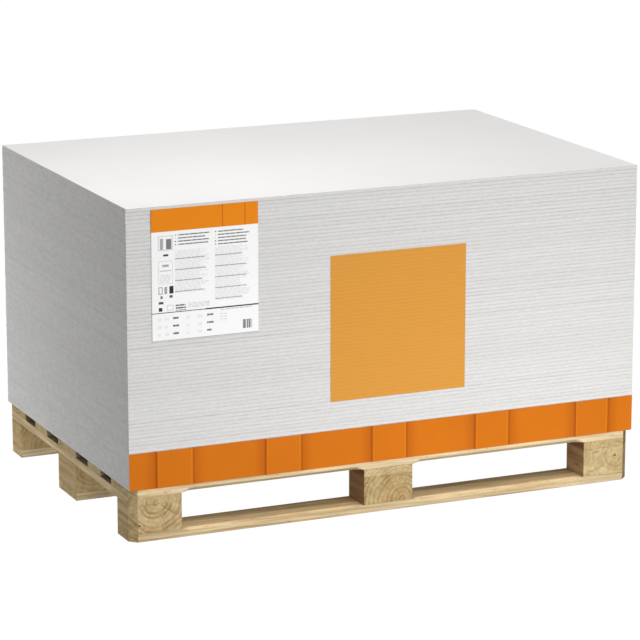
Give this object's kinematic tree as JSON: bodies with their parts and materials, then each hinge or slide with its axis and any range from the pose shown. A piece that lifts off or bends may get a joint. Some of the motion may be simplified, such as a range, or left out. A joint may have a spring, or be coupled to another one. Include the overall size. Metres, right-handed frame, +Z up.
{
  "type": "pallet of drywall sheets",
  "caption": "Square stack of thin gypsum fibre drywall sheets on a four-way wooden pallet, with a coloured band, a paper label and a coloured square on its front.",
  "frame": {"origin": "on the floor under the middle of the pallet", "axes": "+Z up, +X along the length of the sheets, and the front with the band, label and square facing -Y"},
  "size_m": [1.5008, 1.0031, 0.8977],
  "materials": {
    "gypsum": "matte",
    "board_wood": "matte",
    "block_wood": "matte",
    "band_card": "satin",
    "label_paper": "matte",
    "square_film": "satin"
  },
  "bodies": {
    "root": {"sheets": "gypsum", "deck_board_front": "board_wood", "deck_board_front_inner": "board_wood", "deck_board_middle": "board_wood", "deck_board_back_inner": "board_wood", "deck_board_back": "board_wood", "cross_board_left": "board_wood", "cross_board_centre": "board_wood", "cross_board_right": "board_wood", "block_front_left": "block_wood", "block_front_centre": "block_wood", "block_front_right": "block_wood", "block_middle_left": "block_wood", "block_middle_centre": "block_wood", "block_middle_right": "block_wood", "block_back_left": "block_wood", "block_back_centre": "block_wood", "block_back_right": "block_wood", "base_board_front": "board_wood", "base_board_middle": "board_wood", "base_board_back": "board_wood", "band": "band_card", "label": "label_paper", "square": "square_film"}
  },
  "joints": []
}
